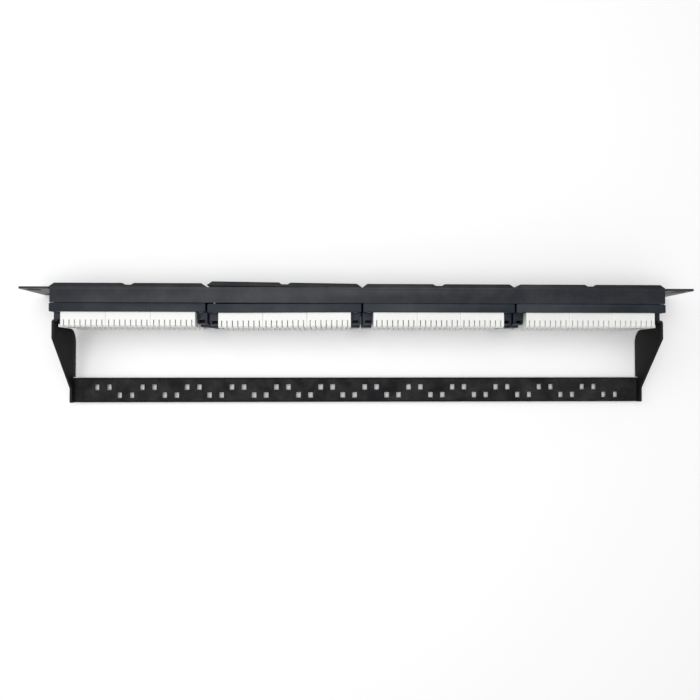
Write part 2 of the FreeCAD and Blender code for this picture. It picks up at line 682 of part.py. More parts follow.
def make_cable_bar():
    """One sheet: a bar with tie holes, an arm at each end and a hook at each arm's tip."""
    body = new_body("cable_bar")
    add(body, "bar", "XY_Plane", [rectangle(f"-{ARM_OUTER}", ARM_OUTER, BAR_FRONT, BAR_REAR)],
        "-arm_bottom", BAR_TOP)
    lip_end = f"({ARM_OUTER} - bar_relief)"
    add(body, "lips", "XY_Plane", [
        rectangle(f"-{lip_end}", lip_end, BAR_FRONT, f"{BAR_FRONT} + sheet"),
        rectangle(f"-{lip_end}", lip_end, f"{BAR_REAR} - sheet", BAR_REAR)],
        f"{BAR_TOP} - bar_lip", "-arm_bottom")
    front_bend, rear_bend = edges_at(y=BAR_FRONT, z=BAR_TOP), edges_at(y=BAR_REAR, z=BAR_TOP)
    soften(body, "lip_bends", "Fillet", "bend_outside",
           lambda edge: front_bend(edge) or rear_bend(edge))
    top_end = f"{ARM_THROAT} + arm_top_run"
    slope_end = f"{BAR_FRONT} + arm_tail_over_bar"
    arm = add(body, "arm", "YZ_Plane", [[
        (HOOK_FRONT, "arm_top"), (top_end, "arm_top"), (slope_end, TAIL_TOP),
        (BAR_REAR, TAIL_TOP), (BAR_REAR, "-arm_bottom"), (ARM_THROAT, "-arm_bottom"),
        (ARM_THROAT, FINGER_BOTTOM), (HOOK_FRONT, FINGER_BOTTOM)]],
        f"{ARM_OUTER} - sheet", ARM_OUTER)
    hook = add(body, "hook", "XZ_Plane",
               [rectangle(f"{ARM_OUTER} - hook_reach", ARM_OUTER, HOOK_BOTTOM, "arm_top")],
               HOOK_FRONT, f"{HOOK_FRONT} + sheet")
    mirror(body, "arms", [arm, hook], "YZ_Plane")
    soften(body, "hook_bends", "Fillet", "bend_outside", edges_at(x=ARM_OUTER, y=HOOK_FRONT))
    soften(body, "arm_corners", "Fillet", "arm_corner",
           edges_through_sheet(y=ARM_THROAT, z="-arm_bottom"))
    tips = [edges_through_sheet(y=depth, z=up) for depth, up in (
        (BAR_REAR, TAIL_TOP), (top_end, "arm_top"), (slope_end, TAIL_TOP))]
    soften(body, "arm_tips", "Fillet", "arm_round", lambda edge: any(tip(edge) for tip in tips))
    cut(body, "arm_slits", "YZ_Plane",
        [rectangle(f"{BAR_FRONT} - arm_slit", BAR_FRONT, "-arm_bottom", "2 * bend_outside - arm_bottom")],
        f"-{ARM_OUTER}", ARM_OUTER)
    outside, behind = edges_at(x=ARM_OUTER, z="-arm_bottom"), number(BAR_FRONT) - NEAR
    soften(body, "bar_bends", "Fillet", "bend_outside",
           lambda edge: outside(edge) and edge.BoundBox.YMin > behind)
    soften(body, "bar_inner_bends", "Fillet", "bend_outside - sheet",
           edges_at(x=f"{ARM_OUTER} - sheet", z=BAR_TOP))
    first = f"-{(TIE_PAIRS_IN_ROW - 1) / 2} * tie_pitch"
    holes = [centred("tie_hole_across", "tie_hole_along",
                     f"{first} + {shift} * tie_pitch / 4 + {end} * tie_pair / 2",
                     f"{BAR_FRONT} + tie_front_row + {row} * tie_row_step")
             for row, shift in ((0, 1), (1, -1)) for end in ENDS]
    cut(body, "tie_holes", "XY_Plane", holes, "-arm_bottom", BAR_TOP)
    repeat(body, "tie_hole_rows", [body.Tip], "X_Axis", TIE_PAIRS_IN_ROW, "tie_pitch")
    return body


nodes = [make_front_panel(), make_cable_bar(), make_cover_screws()]
for module in MODULES:
    nodes += [make_port_housing(module), make_jack_contacts(module), make_label_strip(module),
              make_label_cover(module), make_circuit_board(module), make_rear_cover(module),
              make_terminal_blades(module), make_wiring_label(module)]
    for row, side in ROWS:
        for column in range(1, BLOCKS_IN_ROW + 1):
            nodes.append(make_terminal_block(module, row, side, column))
doc.recompute()

failed = [item.Label for item in doc.Objects if "Invalid" in item.State or "Error" in item.State]
failed += [node.Label for node in nodes if node.Shape.isNull() or not node.Shape.isValid()]
if failed:
    raise RuntimeError(f"not built: {failed}")
for node in nodes:
    node.Shape.exportStep(f"parts/{node.Label}.step")
print(f"{len(nodes)} nodes written")
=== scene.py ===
import json
import math

import bmesh
import bpy
from mathutils import Matrix, Vector

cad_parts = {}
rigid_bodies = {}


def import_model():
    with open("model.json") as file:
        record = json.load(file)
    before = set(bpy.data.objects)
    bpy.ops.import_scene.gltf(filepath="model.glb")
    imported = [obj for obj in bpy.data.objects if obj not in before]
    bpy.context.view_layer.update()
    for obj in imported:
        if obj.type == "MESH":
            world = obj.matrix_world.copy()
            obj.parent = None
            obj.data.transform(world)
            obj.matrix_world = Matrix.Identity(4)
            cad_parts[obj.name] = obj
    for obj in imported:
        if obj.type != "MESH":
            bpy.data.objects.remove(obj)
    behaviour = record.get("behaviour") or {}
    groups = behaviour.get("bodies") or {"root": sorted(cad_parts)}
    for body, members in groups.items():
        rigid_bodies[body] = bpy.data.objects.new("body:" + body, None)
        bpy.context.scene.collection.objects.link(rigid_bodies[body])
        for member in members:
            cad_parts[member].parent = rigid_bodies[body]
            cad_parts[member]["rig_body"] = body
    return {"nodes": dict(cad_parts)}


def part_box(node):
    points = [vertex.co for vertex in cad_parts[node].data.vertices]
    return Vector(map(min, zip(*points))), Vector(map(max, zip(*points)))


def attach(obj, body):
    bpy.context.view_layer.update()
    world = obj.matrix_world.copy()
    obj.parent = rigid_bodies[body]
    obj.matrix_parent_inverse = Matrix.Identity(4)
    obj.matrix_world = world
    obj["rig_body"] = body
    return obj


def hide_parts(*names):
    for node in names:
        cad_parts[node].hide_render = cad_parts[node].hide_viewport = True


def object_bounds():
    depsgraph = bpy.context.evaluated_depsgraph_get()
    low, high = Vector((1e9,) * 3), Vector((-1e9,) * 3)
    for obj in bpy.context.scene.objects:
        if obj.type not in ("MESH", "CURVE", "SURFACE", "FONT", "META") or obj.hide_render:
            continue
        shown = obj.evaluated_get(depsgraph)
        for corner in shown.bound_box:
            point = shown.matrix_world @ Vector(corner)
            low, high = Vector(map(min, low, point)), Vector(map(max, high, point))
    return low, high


bl_info = {
    "name": "Rack Patch Panel",
    "version": (1, 0, 0),
    "blender": (4, 5, 0),
    "location": "View3D > Sidebar > Patch Panel",
    "description": "Finishes, printing and stage for a 24-socket rack patch panel",
    "category": "Object",
}

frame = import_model()
CAD_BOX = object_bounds()

MM = 0.001
MODULES = (1, 2, 3, 4)
SOCKETS = 6
BLOCKS = 3
SLITS = 8
WIRE_PAIRS = ("blue", "orange", "green", "brown")

# Colours that show through or lie over a finish
RUBBED_COAT = (0.11, 0.11, 0.115)
# Dusting colour on the steel, which also paints top light: upward faces come out lighter than the shaded
# sides
DUST_AND_TOP_LIGHT_ON_COAT = (0.32, 0.31, 0.29)
DUST_ON_PLASTIC = (0.30, 0.29, 0.27)
BLOCK_DRIFT = (0.80, 0.79, 0.76)
DULL_BRONZE = (0.40, 0.27, 0.17)
DULL_GOLD = (0.62, 0.42, 0.16)
DULL_ZINC = (0.36, 0.36, 0.34)

# Copies of CAD nodes: what is merged, what counts as flat, and what counts as an edge
MERGE_WITHIN = 0.002 * MM
FLAT_WITHIN = math.radians(0.5)
EDGE_ABOVE = math.radians(35)

# Printing
FONT_TO_FIGURE = 1.35
STRIP_LINE = 0.25 * MM
STRIP_FIELD_GAP = 2 * MM
STRIP_MARGIN = 0.8 * MM
STRIP_NUMBER_IN = 2.6 * MM
STRIP_DIVIDER_IN = 5.2 * MM
COLOUR_BAR_MARGIN = 0.8 * MM
WHITE_STRIPE = (0.86, 0.42, 1.6)
WIRING_NUMBER_UP = 2.6 * MM
WIRING_RULE_UP = 4.6 * MM
WIRING_RULE = 0.2 * MM

# Stage
OVERHEAD_AT, OVERHEAD_SIZE = (0.14, -0.06, 1.25), (1.3, 1.0)
LEFT_END_AT, LEFT_END_SIZE = (0.95, -0.25, 0.9), (0.6, 0.6)
SENSOR_WIDTH = 36.0
NEAREST_SEEN = 0.01


# ---------------------------------------------------------------- settings

def length(name, description, default):
    return bpy.props.FloatProperty(name=name, description=description, default=default,
                                   min=0.0, unit="LENGTH", precision=5)


def place(name, description, default):
    return bpy.props.FloatVectorProperty(name=name, description=description, default=default,
                                         size=3, subtype="TRANSLATION", unit="LENGTH", precision=4)


def angle(name, description, default):
    return bpy.props.FloatProperty(name=name, description=description,
                                   default=math.radians(default), unit="ROTATION")


def colour(name, description, default):
    return bpy.props.FloatVectorProperty(name=name, description=description, default=default,
                                         size=3, min=0.0, max=1.0, subtype="COLOR")


def factor(name, description, default, most=1.0):
    return bpy.props.FloatProperty(name=name, description=description, default=default,
                                   min=0.0, max=most, subtype="FACTOR")


class PatchPanelSizes(bpy.types.PropertyGroup):
    steel_edge: length("Steel edge", "Rounding of the coated steel's cut edges", 0.25 * MM)
    moulded_edge: length("Moulded edge", "Rounding of the housings' and covers' edges", 0.3 * MM)
    block_edge: length("Block edge", "Rounding of the terminal blocks' edges", 0.10 * MM)
    socket_pitch: length("Socket pitch", "Distance from one socket to the next", 17.2 * MM)
    slit_pitch: length("Slit pitch", "Distance from one terminal slit to the next", 3.81 * MM)
    block_pitch: length("Block pitch", "Distance from one terminal block to the next", 31.4 * MM)
    number_height: length("Socket number height", "Height of the numbers over the sockets", 3.0 * MM)
    number_up: length("Socket number height above middle", "Middle of the socket numbers", 5.9 * MM)
    strip_number: length("Strip number height", "Height of the numbers on the paper strips", 2.4 * MM)
    wiring_number: length("Wiring number height", "Height of the numbers on the wiring labels", 2.6 * MM)
    ink: length("Ink thickness", "How far printing stands off what it is printed on", 0.03 * MM)
    bar_width: length("Colour bar width", "Width of one wire's colour bar", 2.9 * MM)
    bar_height: length("Colour bar height", "Height of one wire's colour bar", 2.2 * MM)


class PatchPanelColours(bpy.types.PropertyGroup):
    steel: colour("Panel steel", "Powder coat on the front panel", (0.0108, 0.0122, 0.0165))
    bar_steel: colour("Bar steel", "Powder coat on the cable bar", (0.0078, 0.0076, 0.0088))
    housing: colour("Socket housing", "Moulded plastic of the socket housings", (0.0080, 0.0088, 0.0102))
    cover: colour("Rear cover", "Moulded plastic of the rear covers", (0.0092, 0.0128, 0.0190))
    block: colour("Terminal block", "Moulded plastic of the terminal blocks", (0.74, 0.74, 0.727))
    blade: colour("Blade", "Stamped bronze of the terminal blades", (0.56, 0.40, 0.27))
    contact: colour("Contact wire", "Gold plate on the sockets' spring wires", (0.86, 0.62, 0.24))
    board: colour("Circuit board", "Solder mask over the board", (0.012, 0.11, 0.045))
    copper: colour("Circuit trace", "Solder mask where it lies over copper", (0.03, 0.21, 0.08))
    paper: colour("Paper", "Label strips behind the clear covers", (0.80, 0.79, 0.75))
    wiring_paper: colour("Wiring label", "Coated paper of the wiring labels", (0.76, 0.76, 0.74))
    window: colour("Label cover", "Tint of the clear label covers", (0.94, 0.97, 0.98))
    screw: colour("Screw", "Zinc plate on the cover screws", (0.52, 0.53, 0.55))
    white_ink: colour("White ink", "Numbers over the sockets", (0.72, 0.72, 0.71))
    black_ink: colour("Black ink", "Numbers and lines on the labels", (0.02, 0.02, 0.022))
    blue: colour("Blue pair", "Wiring label's blue", (0.03, 0.12, 0.48))
    orange: colour("Orange pair", "Wiring label's orange", (0.80, 0.23, 0.03))
    green: colour("Green pair", "Wiring label's green", (0.03, 0.30, 0.09))
    brown: colour("Brown pair", "Wiring label's brown", (0.20, 0.08, 0.03))
    floor: colour("Floor", "Stage floor", (0.90, 0.90, 0.90))


class PatchPanelStage(bpy.types.PropertyGroup):
    lens: bpy.props.FloatProperty(name="Lens", description="Focal length of the camera, in millimetres",
                                  default=32.36, min=1.0)
    camera: place("Camera", "Where the camera stands", (0.02392, 0.05375, 0.46776))
    pitch: angle("Camera pitch", "Turn about the view's width, off straight down", -1.387)
    yaw: angle("Camera yaw", "Turn about the view's height, off straight down", -1.942)
    roll: angle("Camera roll", "Turn about the line of sight", -0.010)
    floor_size: length("Floor size", "Side of the square floor", 12.0)
    sky: factor("Surrounding light", "Strength of the light from all round", 0.52, 10.0)
    overhead: bpy.props.FloatProperty(name="Overhead light", description="Power of the large overhead light",
                                      default=12.4, min=0.0, unit="POWER")
    side: bpy.props.FloatProperty(name="Side light", description="Power of the light at the left-hand end",
                                  default=1.5, min=0.0, unit="POWER")


# ---------------------------------------------------------------- node groups

def new_group(name, inputs, outputs):
    """A shader node group with its sockets, and the nodes that stand for them inside."""
    group = bpy.data.node_groups.new(name, "ShaderNodeTree")
    for socket, kind, default in inputs:
        made = group.interface.new_socket(name=socket, in_out="INPUT", socket_type=kind)
        if default is not None:
            made.default_value = default
    for socket, kind in outputs:
        group.interface.new_socket(name=socket, in_out="OUTPUT", socket_type=kind)
    return group, group.nodes.new("NodeGroupInput"), group.nodes.new("NodeGroupOutput")


def ranged(tree, value, low, high, to_low, to_high):
    """A Map Range node over a value, and its result."""
    node = tree.nodes.new("ShaderNodeMapRange")
    tree.links.new(value, node.inputs["Value"])
    for socket, number in (("From Min", low), ("From Max", high), ("To Min", to_low), ("To Max", to_high)):
        node.inputs[socket].default_value = number
    return node.outputs["Result"]


def noise(tree, vector, scale, detail=2.0, roughness=0.5):
    """A noise texture's value. The scale is a number or another socket."""
    node = tree.nodes.new("ShaderNodeTexNoise")
    tree.links.new(vector, node.inputs["Vector"])
    node.inputs["Detail"].default_value = detail
    node.inputs["Roughness"].default_value = roughness
    if hasattr(scale, "is_output"):
        tree.links.new(scale, node.inputs["Scale"])
    else:
        node.inputs["Scale"].default_value = scale
    return node.outputs["Fac"]


def maths(tree, operation, first, second):
    """A Math node over two sockets or numbers, and its result."""
    node = tree.nodes.new("ShaderNodeMath")
    node.operation = operation
    for index, value in enumerate((first, second)):
        if hasattr(value, "is_output"):
            tree.links.new(value, node.inputs[index])
        else:
            node.inputs[index].default_value = value
    return node.outputs[0]


def grain_group():
    """Fine surface grain: a height for bumps, and a slow drift for gloss and colour."""
    group, start, end = new_group("Surface grain", (
        ("Vector", "NodeSocketVector", None), ("Grain scale", "NodeSocketFloat", 1800.0),
        ("Drift scale", "NodeSocketFloat", 25.0)), (
        ("Height", "NodeSocketFloat"), ("Drift", "NodeSocketFloat")))
    fine = noise(group, start.outputs["Vector"], start.outputs["Grain scale"], 3.0, 0.6)
    slow = noise(group, start.outputs["Vector"], start.outputs["Drift scale"], 4.0, 0.55)
    group.links.new(fine, end.inputs["Height"])
    group.links.new(slow, end.inputs["Drift"])
    return group


def wear_group():
    """Rubbed edges: a mask that is strong where the surface turns within a small distance."""
    group, start, end = new_group("Rubbed edges", (
        ("Vector", "NodeSocketVector", None), ("Radius", "NodeSocketFloat", 0.0005),
        ("Amount", "NodeSocketFloat", 0.6)), (("Mask", "NodeSocketFloat"),))
    rounded = group.nodes.new("ShaderNodeBevel")
    rounded.samples = 4
    group.links.new(start.outputs["Radius"], rounded.inputs["Radius"])
    flat = group.nodes.new("ShaderNodeNewGeometry")
    match = group.nodes.new("ShaderNodeVectorMath")
    match.operation = "DOT_PRODUCT"
    group.links.new(rounded.outputs["Normal"], match.inputs[0])
    group.links.new(flat.outputs["Normal"], match.inputs[1])
    edge = ranged(group, match.outputs["Value"], 1.0, 0.86, 0.0, 1.0)
    patchy = ranged(group, noise(group, start.outputs["Vector"], 260.0, 3.0), 0.35, 0.7, 0.0, 1.0)
    mask = maths(group, "MULTIPLY", maths(group, "MULTIPLY", edge, patchy), start.outputs["Amount"])
    group.links.new(mask, end.inputs["Mask"])
    return group


def dust_and_top_light_group():
    """A thin, broken dusting on faces that look upward, which also paints light: tops come out lighter than
    the shaded sides.
    """
    group, start, end = new_group("Settled dust and top light", (
        ("Vector", "NodeSocketVector", None), ("Amount", "NodeSocketFloat", 0.2)),
        (("Mask", "NodeSocketFloat"),))
    facing = group.nodes.new("ShaderNodeNewGeometry")
    split = group.nodes.new("ShaderNodeSeparateXYZ")
    group.links.new(facing.outputs["Normal"], split.inputs[0])
    upward = ranged(group, split.outputs["Z"], 0.5, 1.0, 0.0, 1.0)
    film = ranged(group, noise(group, start.outputs["Vector"], 60.0, 6.0, 0.65), 0.4, 0.75, 0.0, 1.0)
    specks = ranged(group, noise(group, start.outputs["Vector"], 1400.0, 1.0), 0.74, 0.8, 0.0, 1.0)
    both = maths(group, "MAXIMUM", maths(group, "MULTIPLY", film, 0.6), specks)
    mask = maths(group, "MULTIPLY", maths(group, "MULTIPLY", both, upward), start.outputs["Amount"])
    group.links.new(mask, end.inputs["Mask"])
    return group


GROUP_BUILDERS = {"Surface grain": grain_group, "Rubbed edges": wear_group, "Settled dust and top light": dust_and_top_light_group}


# ---------------------------------------------------------------- materials

class Finish:
    """One material under way: its tree, its shader and the object's own coordinates."""

    def __init__(self, name, base, roughness, metallic=0.0, ior=1.5):
        self.material = bpy.data.materials.new(name)
        self.material.use_nodes = True
        self.tree = self.material.node_tree
        self.shader = self.tree.nodes["Principled BSDF"]
        self.shader.inputs["Base Color"].default_value = (*base, 1.0)
        self.shader.inputs["Roughness"].default_value = roughness
        self.shader.inputs["Metallic"].default_value = metallic
        self.shader.inputs["IOR"].default_value = ior
        self.shader.inputs["Specular Tint"].default_value = (0.94, 0.97, 1.0, 1.0)
        self.vector = self.tree.nodes.new("ShaderNodeTexCoord").outputs["Object"]
        self.base = self.shader.inputs["Base Color"].default_value[:]
        self.colour = None

    def group(self, name, **values):
        """Place a shared node group here with its own values."""
        node = self.tree.nodes.new("ShaderNodeGroup")
        node.node_tree = bpy.data.node_groups.get(name) or GROUP_BUILDERS[name]()
        self.tree.links.new(self.vector, node.inputs["Vector"])
        for socket, value in values.items():
            node.inputs[socket.replace("_", " ").capitalize()].default_value = value
        return node

    def blend(self, mask, over):
        """Lay a second colour over the present one through a mask."""
        mix = self.tree.nodes.new("ShaderNodeMix")
        mix.data_type = "RGBA"
        self.tree.links.new(mask, mix.inputs[0])
        if self.colour is None:
            mix.inputs[6].default_value = self.base
        else:
            self.tree.links.new(self.colour, mix.inputs[6])
        mix.inputs[7].default_value = (*over, 1.0)
        self.colour = mix.outputs[2]
        self.tree.links.new(self.colour, self.shader.inputs["Base Color"])

    def mottle(self, drift, low, high, most, over):
        """Lay a second colour over the present one in slow patches, most strongly by most."""
        self.blend(ranged(self.tree, drift, low, high, 0.0, most), over)

    def gloss(self, value, low, high):
        """Let the roughness run from low to high with a value between 0.3 and 0.7."""
        self.tree.links.new(ranged(self.tree, value, 0.3, 0.7, low, high), self.shader.inputs["Roughness"])

    def bump(self, height, distance):
        """Raise the surface by a height field."""
        node = self.tree.nodes.new("ShaderNodeBump")
        node.inputs["Distance"].default_value = distance
        self.tree.links.new(height, node.inputs["Height"])
        self.tree.links.new(node.outputs["Normal"], self.shader.inputs["Normal"])


def lighter(shade, times):
    return tuple(min(1.0, part * times) for part in shade)


def make_coated_steel(name, shade, ior, low, high, dust_and_top_light_amount):
    finish = Finish(name, shade, low, ior=ior)
    grain = finish.group("Surface grain", grain_scale=1500.0, drift_scale=18.0)
    wear = finish.group("Rubbed edges", radius=0.0005, amount=0.5)
    # Upward faces lightened, partly by settled dusting and partly by painted top light
    dust_and_top_light = finish.group("Settled dust and top light", amount=dust_and_top_light_amount)
    finish.mottle(grain.outputs["Drift"], 0.35, 0.7, 0.5, lighter(shade, 1.6))
    finish.blend(wear.outputs["Mask"], RUBBED_COAT)
    finish.blend(dust_and_top_light.outputs["Mask"], DUST_AND_TOP_LIGHT_ON_COAT)
    finish.gloss(grain.outputs["Drift"], low, high)
    finish.bump(grain.outputs["Height"], 0.00005)
    return finish.material


def make_moulded(name, shade, low, high, grain_scale, depth):
    finish = Finish(name, shade, low, ior=1.3)
    grain = finish.group("Surface grain", grain_scale=grain_scale, drift_scale=35.0)
    wear = finish.group("Rubbed edges", radius=0.0004, amount=0.3)
    dust_and_top_light = finish.group("Settled dust and top light", amount=0.08)
    finish.mottle(grain.outputs["Drift"], 0.35, 0.7, 0.6, lighter(shade, 1.7))
    finish.blend(wear.outputs["Mask"], lighter(shade, 5.0))
    finish.blend(dust_and_top_light.outputs["Mask"], DUST_ON_PLASTIC)
    finish.gloss(grain.outputs["Drift"], low, high)
    finish.bump(grain.outputs["Height"], depth)
    return finish.material


def make_block_plastic(colours):
    finish = Finish("White terminal moulding", colours.block, 0.32)
    grain = finish.group("Surface grain", grain_scale=2200.0, drift_scale=90.0)
    finish.mottle(grain.outputs["Drift"], 0.4, 0.75, 0.5, BLOCK_DRIFT)
    finish.gloss(grain.outputs["Drift"], 0.28, 0.42)
    finish.bump(grain.outputs["Height"], 0.00002)
    finish.shader.inputs["Subsurface Weight"].default_value = 0.25
    finish.shader.inputs["Subsurface Radius"].default_value = (1.0, 0.9, 0.8)
    finish.shader.inputs["Subsurface Scale"].default_value = 0.0012
    return finish.material


def make_stamped_metal(name, shade, dark, roughness, streak):
    finish = Finish(name, shade, roughness, metallic=1.0)
    stretch = finish.tree.nodes.new("ShaderNodeMapping")
    stretch.inputs["Scale"].default_value = streak
    finish.tree.links.new(finish.vector, stretch.inputs["Vector"])
    lines = noise(finish.tree, stretch.outputs["Vector"], 900.0, 2.0)
    grain = finish.group("Surface grain", grain_scale=700.0, drift_scale=120.0)
    finish.mottle(grain.outputs["Drift"], 0.45, 0.75, 0.8, dark)
    finish.gloss(lines, roughness * 0.7, roughness * 1.4)
    finish.bump(lines, 0.00001)
    return finish.material


def make_solder_mask(colours):
    finish = Finish("Green solder mask", colours.board, 0.25)
    cells = finish.tree.nodes.new("ShaderNodeTexBrick")
    turn = finish.tree.nodes.new("ShaderNodeMapping")
    turn.inputs["Rotation"].default_value = (math.pi / 2, 0.0, 0.0)
    finish.tree.links.new(finish.vector, turn.inputs["Vector"])
    finish.tree.links.new(turn.outputs["Vector"], cells.inputs["Vector"])
    cells.inputs["Scale"].default_value = 120.0
    cells.inputs["Mortar Size"].default_value = 0.04
    finish.blend(cells.outputs["Fac"], colours.copper)
    grain = finish.group("Surface grain", grain_scale=900.0, drift_scale=60.0)
    finish.gloss(grain.outputs["Drift"], 0.2, 0.34)
    finish.bump(cells.outputs["Fac"], 0.00003)
    finish.shader.inputs["Coat Weight"].default_value = 0.3
    return finish.material


def make_paper(name, shade, low, high, depth):
    finish = Finish(name, shade, high)
    grain = finish.group("Surface grain", grain_scale=3200.0, drift_scale=300.0)
    finish.mottle(grain.outputs["Drift"], 0.4, 0.7, 0.4, lighter(shade, 0.86))
    finish.gloss(grain.outputs["Drift"], low, high)
    finish.bump(grain.outputs["Height"], depth)
    return finish.material


def make_clear_plastic(colours):
    finish = Finish("Clear label cover", colours.window, 0.04)
    finish.shader.inputs["Transmission Weight"].default_value = 1.0
    finish.shader.inputs["IOR"].default_value = 1.49
    grain = finish.group("Surface grain", grain_scale=500.0, drift_scale=110.0)
    finish.mottle(grain.outputs["Drift"], 0.4, 0.75, 0.25, lighter(colours.window, 0.9))
    finish.gloss(grain.outputs["Drift"], 0.02, 0.10)
    finish.bump(grain.outputs["Height"], 0.000004)
    return finish.material


def make_ink():
    """Printing ink, in the colour that each mark's own attribute gives it."""
    finish = Finish("Printing ink", (0.5, 0.5, 0.5), 0.45)
    mark = finish.tree.nodes.new("ShaderNodeAttribute")
    mark.attribute_name = "ink"
    shade = finish.tree.nodes.new("ShaderNodeMix")
    shade.data_type = "RGBA"
    shade.blend_type = "MULTIPLY"
    grain = finish.group("Surface grain", grain_scale=4000.0, drift_scale=700.0)
    finish.tree.links.new(ranged(finish.tree, grain.outputs["Drift"], 0.35, 0.7, 0.0, 0.25), shade.inputs[0])
    finish.tree.links.new(mark.outputs["Color"], shade.inputs[6])
    shade.inputs[7].default_value = (0.55, 0.55, 0.55, 1.0)
    finish.tree.links.new(shade.outputs[2], finish.shader.inputs["Base Color"])
    finish.gloss(grain.outputs["Drift"], 0.38, 0.55)
    finish.bump(grain.outputs["Height"], 0.00001)
    return finish.material


def make_floor_paint(shade):
    finish = Finish("Pale floor", shade, 0.6)
    grain = finish.group("Surface grain", grain_scale=400.0, drift_scale=3.0)
    finish.mottle(grain.outputs["Drift"], 0.35, 0.7, 0.3, lighter(shade, 0.985))
    finish.gloss(grain.outputs["Drift"], 0.55, 0.7)
    finish.bump(grain.outputs["Height"], 0.00001)
    return finish.material


# ---------------------------------------------------------------- making pieces

def finished_object(name, mesh, material, body):
    """Link a mesh, made in the CAD part's frame, as a piece that rides on one of its bodies."""
    piece = bpy.data.objects.new(name, mesh)
    bpy.context.scene.collection.objects.link(piece)
    if not mesh.materials:
        mesh.materials.append(material)
    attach(piece, body)
    return piece


def body_of(node):
    return frame["nodes"][node]["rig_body"]


def repaint(prefix, material):
    """Give a material to the CAD node with this name, or to every one that it begins."""
    for name, node in frame["nodes"].items():
        if name == prefix or name.startswith(prefix + "_"):
            node.data.materials.clear()
            node.data.materials.append(material)


def soften(node, name, width, material):
    """Stand a copy of a CAD node in for it, with its sharp edges rounded."""
    shape = bmesh.new()
    shape.from_mesh(frame["nodes"][node].data)
    bmesh.ops.remove_doubles(shape, verts=shape.verts, dist=MERGE_WITHIN)
    bmesh.ops.dissolve_limit(shape, angle_limit=FLAT_WITHIN, use_dissolve_boundaries=False,
                             verts=shape.verts, edges=shape.edges)
    for face in shape.faces:
        face.smooth = True
    mesh = bpy.data.meshes.new(name)
    shape.to_mesh(mesh)
    shape.free()
    piece = finished_object(name, mesh, material, body_of(node))
    rounding = piece.modifiers.new("Rounded edges", "BEVEL")
    rounding.width = width
    rounding.segments = 2
    rounding.limit_method = "ANGLE"
    rounding.angle_limit = EDGE_ABOVE
    rounding.harden_normals = True
    rounding.use_clamp_overlap = True
    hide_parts(node)


def paper_face(kind, module, facing):
    """The middle of a module's thin paper piece, turned as the paper is.

    facing is -1 for paper that faces the front and 1 for paper that faces the rear. The
    loose module's paper is turned so that its +X end stands further that way.
    """
    boxes = [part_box(f"{kind}_{number}") for number in MODULES]
    thinnest = min(high.y - low.y for low, high in boxes)
    low, high = boxes[module - 1]
    slope = math.atan2(high.y - low.y - thinnest, high.x - low.x)
    return Matrix.Translation((low + high) / 2) @ Matrix.Rotation(facing * slope, 4, "Z")


class Print:
    """Marks printed on one face, gathered into one mesh with a colour for each mark."""

    def __init__(self, face, facing, depth):
        """depth is how far outside the face's middle the print's own middle lies."""
        lay = Matrix.Rotation(math.pi / 2, 4, "X")
        if facing > 0:
            lay = Matrix.Rotation(math.pi, 4, "Z") @ lay
        self.lay = face @ lay @ Matrix.Translation((0.0, 0.0, depth))
        self.shape = bmesh.new()
        self.colour = self.shape.loops.layers.float_color.new("ink")

    def paint(self, faces, shade):
        for face in faces:
            for loop in face.loops:
                loop[self.colour] = (*shade, 1.0)

    def bar(self, across, up, width, height, thick, shade):
        """A printed bar with its middle at across and up."""
        made = bmesh.ops.create_cube(self.shape, size=1.0, matrix=self.lay @ Matrix.Translation(
            (across, up, 0.0)) @ Matrix.Diagonal((width, height, thick, 1.0)))
        self.paint({face for vert in made["verts"] for face in vert.link_faces}, shade)

    def text(self, words, across, up, height, thick, shade):
        """Printed figures with their middle at across and up."""
        curve = bpy.data.curves.new("figures", "FONT")
        curve.body = words
        curve.size = height * FONT_TO_FIGURE
        curve.extrude = thick / 2
        curve.resolution_u = 2
        curve.align_x = "CENTER"
        curve.align_y = "CENTER"
        figures = bpy.data.objects.new("figures", curve)
        bpy.context.scene.collection.objects.link(figures)
        bpy.context.view_layer.update()
        flat = bpy.data.meshes.new_from_object(figures)
        bpy.data.objects.remove(figures)
        bpy.data.curves.remove(curve)
        flat.transform(self.lay @ Matrix.Translation((across, up, 0.0)))
        known = set(self.shape.faces)
        self.shape.from_mesh(flat)
        bpy.data.meshes.remove(flat)
        self.paint(set(self.shape.faces) - known, shade)

    def finish(self, name, material, body, slot):
        bmesh.ops.remove_doubles(self.shape, verts=self.shape.verts, dist=0.0001 * MM)
        mesh = bpy.data.meshes.new(name)
        self.shape.to_mesh(mesh)
        self.shape.free()
        return finished_object(name, mesh, material, body)


def ink():
    return bpy.data.materials.get("Printing ink") or make_ink()


# ---------------------------------------------------------------- operators

class PATCHPANEL_OT_steelwork(bpy.types.Operator):
    """Powder-coat the front panel and the cable bar, with their cut edges eased"""
    bl_idname = "patch_panel.steelwork"
    bl_label = "Steelwork"
    bl_options = {"REGISTER", "UNDO"}

    def execute(self, context):
        sizes = context.scene.patch_panel_sizes
        colours = context.scene.patch_panel_colours
        satin = make_coated_steel("Satin powder coat", colours.steel, 1.34, 0.38, 0.46, 0.10)
        # The cable bar's heavier dusting is partly painted light: its top comes out lighter than its shaded
        # upright arms
        matt = make_coated_steel("Matt powder coat", colours.bar_steel, 1.15, 0.50, 0.60, 0.14)
        soften("front_panel", "coated_front_panel", sizes.steel_edge, satin)
        soften("cable_bar", "coated_cable_bar", sizes.steel_edge, matt)
        return {"FINISHED"}


class PATCHPANEL_OT_housings(bpy.types.Operator):
    """Mould the four socket housings"""
    bl_idname = "patch_panel.housings"
    bl_label = "Socket housings"
    bl_options = {"REGISTER", "UNDO"}

    def execute(self, context):
        sizes = context.scene.patch_panel_sizes
        colours = context.scene.patch_panel_colours
        plastic = make_moulded("Spark-eroded black moulding", colours.housing, 0.42, 0.58, 1100.0, 0.00006)
        for module in MODULES:
            soften(f"port_housing_{module}", f"moulded_housing_{module}", sizes.moulded_edge,
                   plastic)
        return {"FINISHED"}


